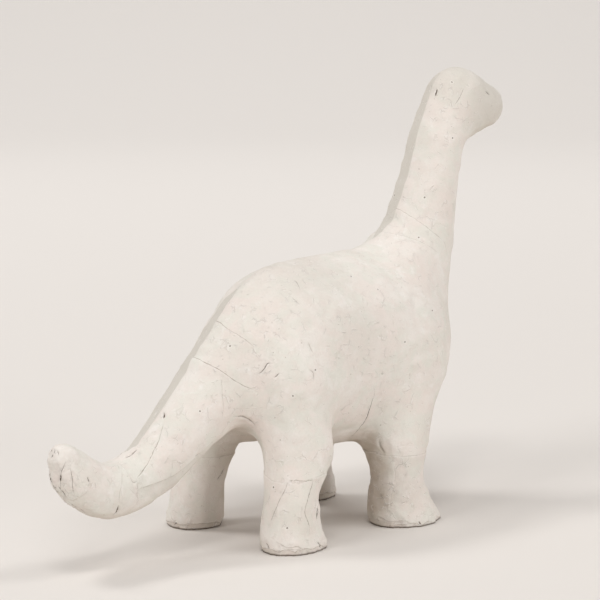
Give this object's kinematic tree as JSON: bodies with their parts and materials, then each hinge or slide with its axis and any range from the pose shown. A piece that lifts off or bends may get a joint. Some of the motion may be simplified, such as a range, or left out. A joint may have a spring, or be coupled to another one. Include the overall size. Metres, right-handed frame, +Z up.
{
  "type": "papier-mache dinosaur figure",
  "caption": "Blank papier-mache long-necked dinosaur: deep rounded body on stubby legs, upright neck with a small plain head, and a heavy upturned tail.",
  "frame": {"origin": "on the floor, under the middle of the length and width", "axes": "+X toward the head, +Y toward the animal's left side, +Z up"},
  "size_m": [0.356, 0.1158, 0.2633],
  "materials": {
    "papier_mache": "bare dried papier-mache, off-white, matte, with visible strip seams and pulp grain"
  },
  "bodies": {
    "root": {"dinosaur": "papier_mache"}
  },
  "joints": []
}
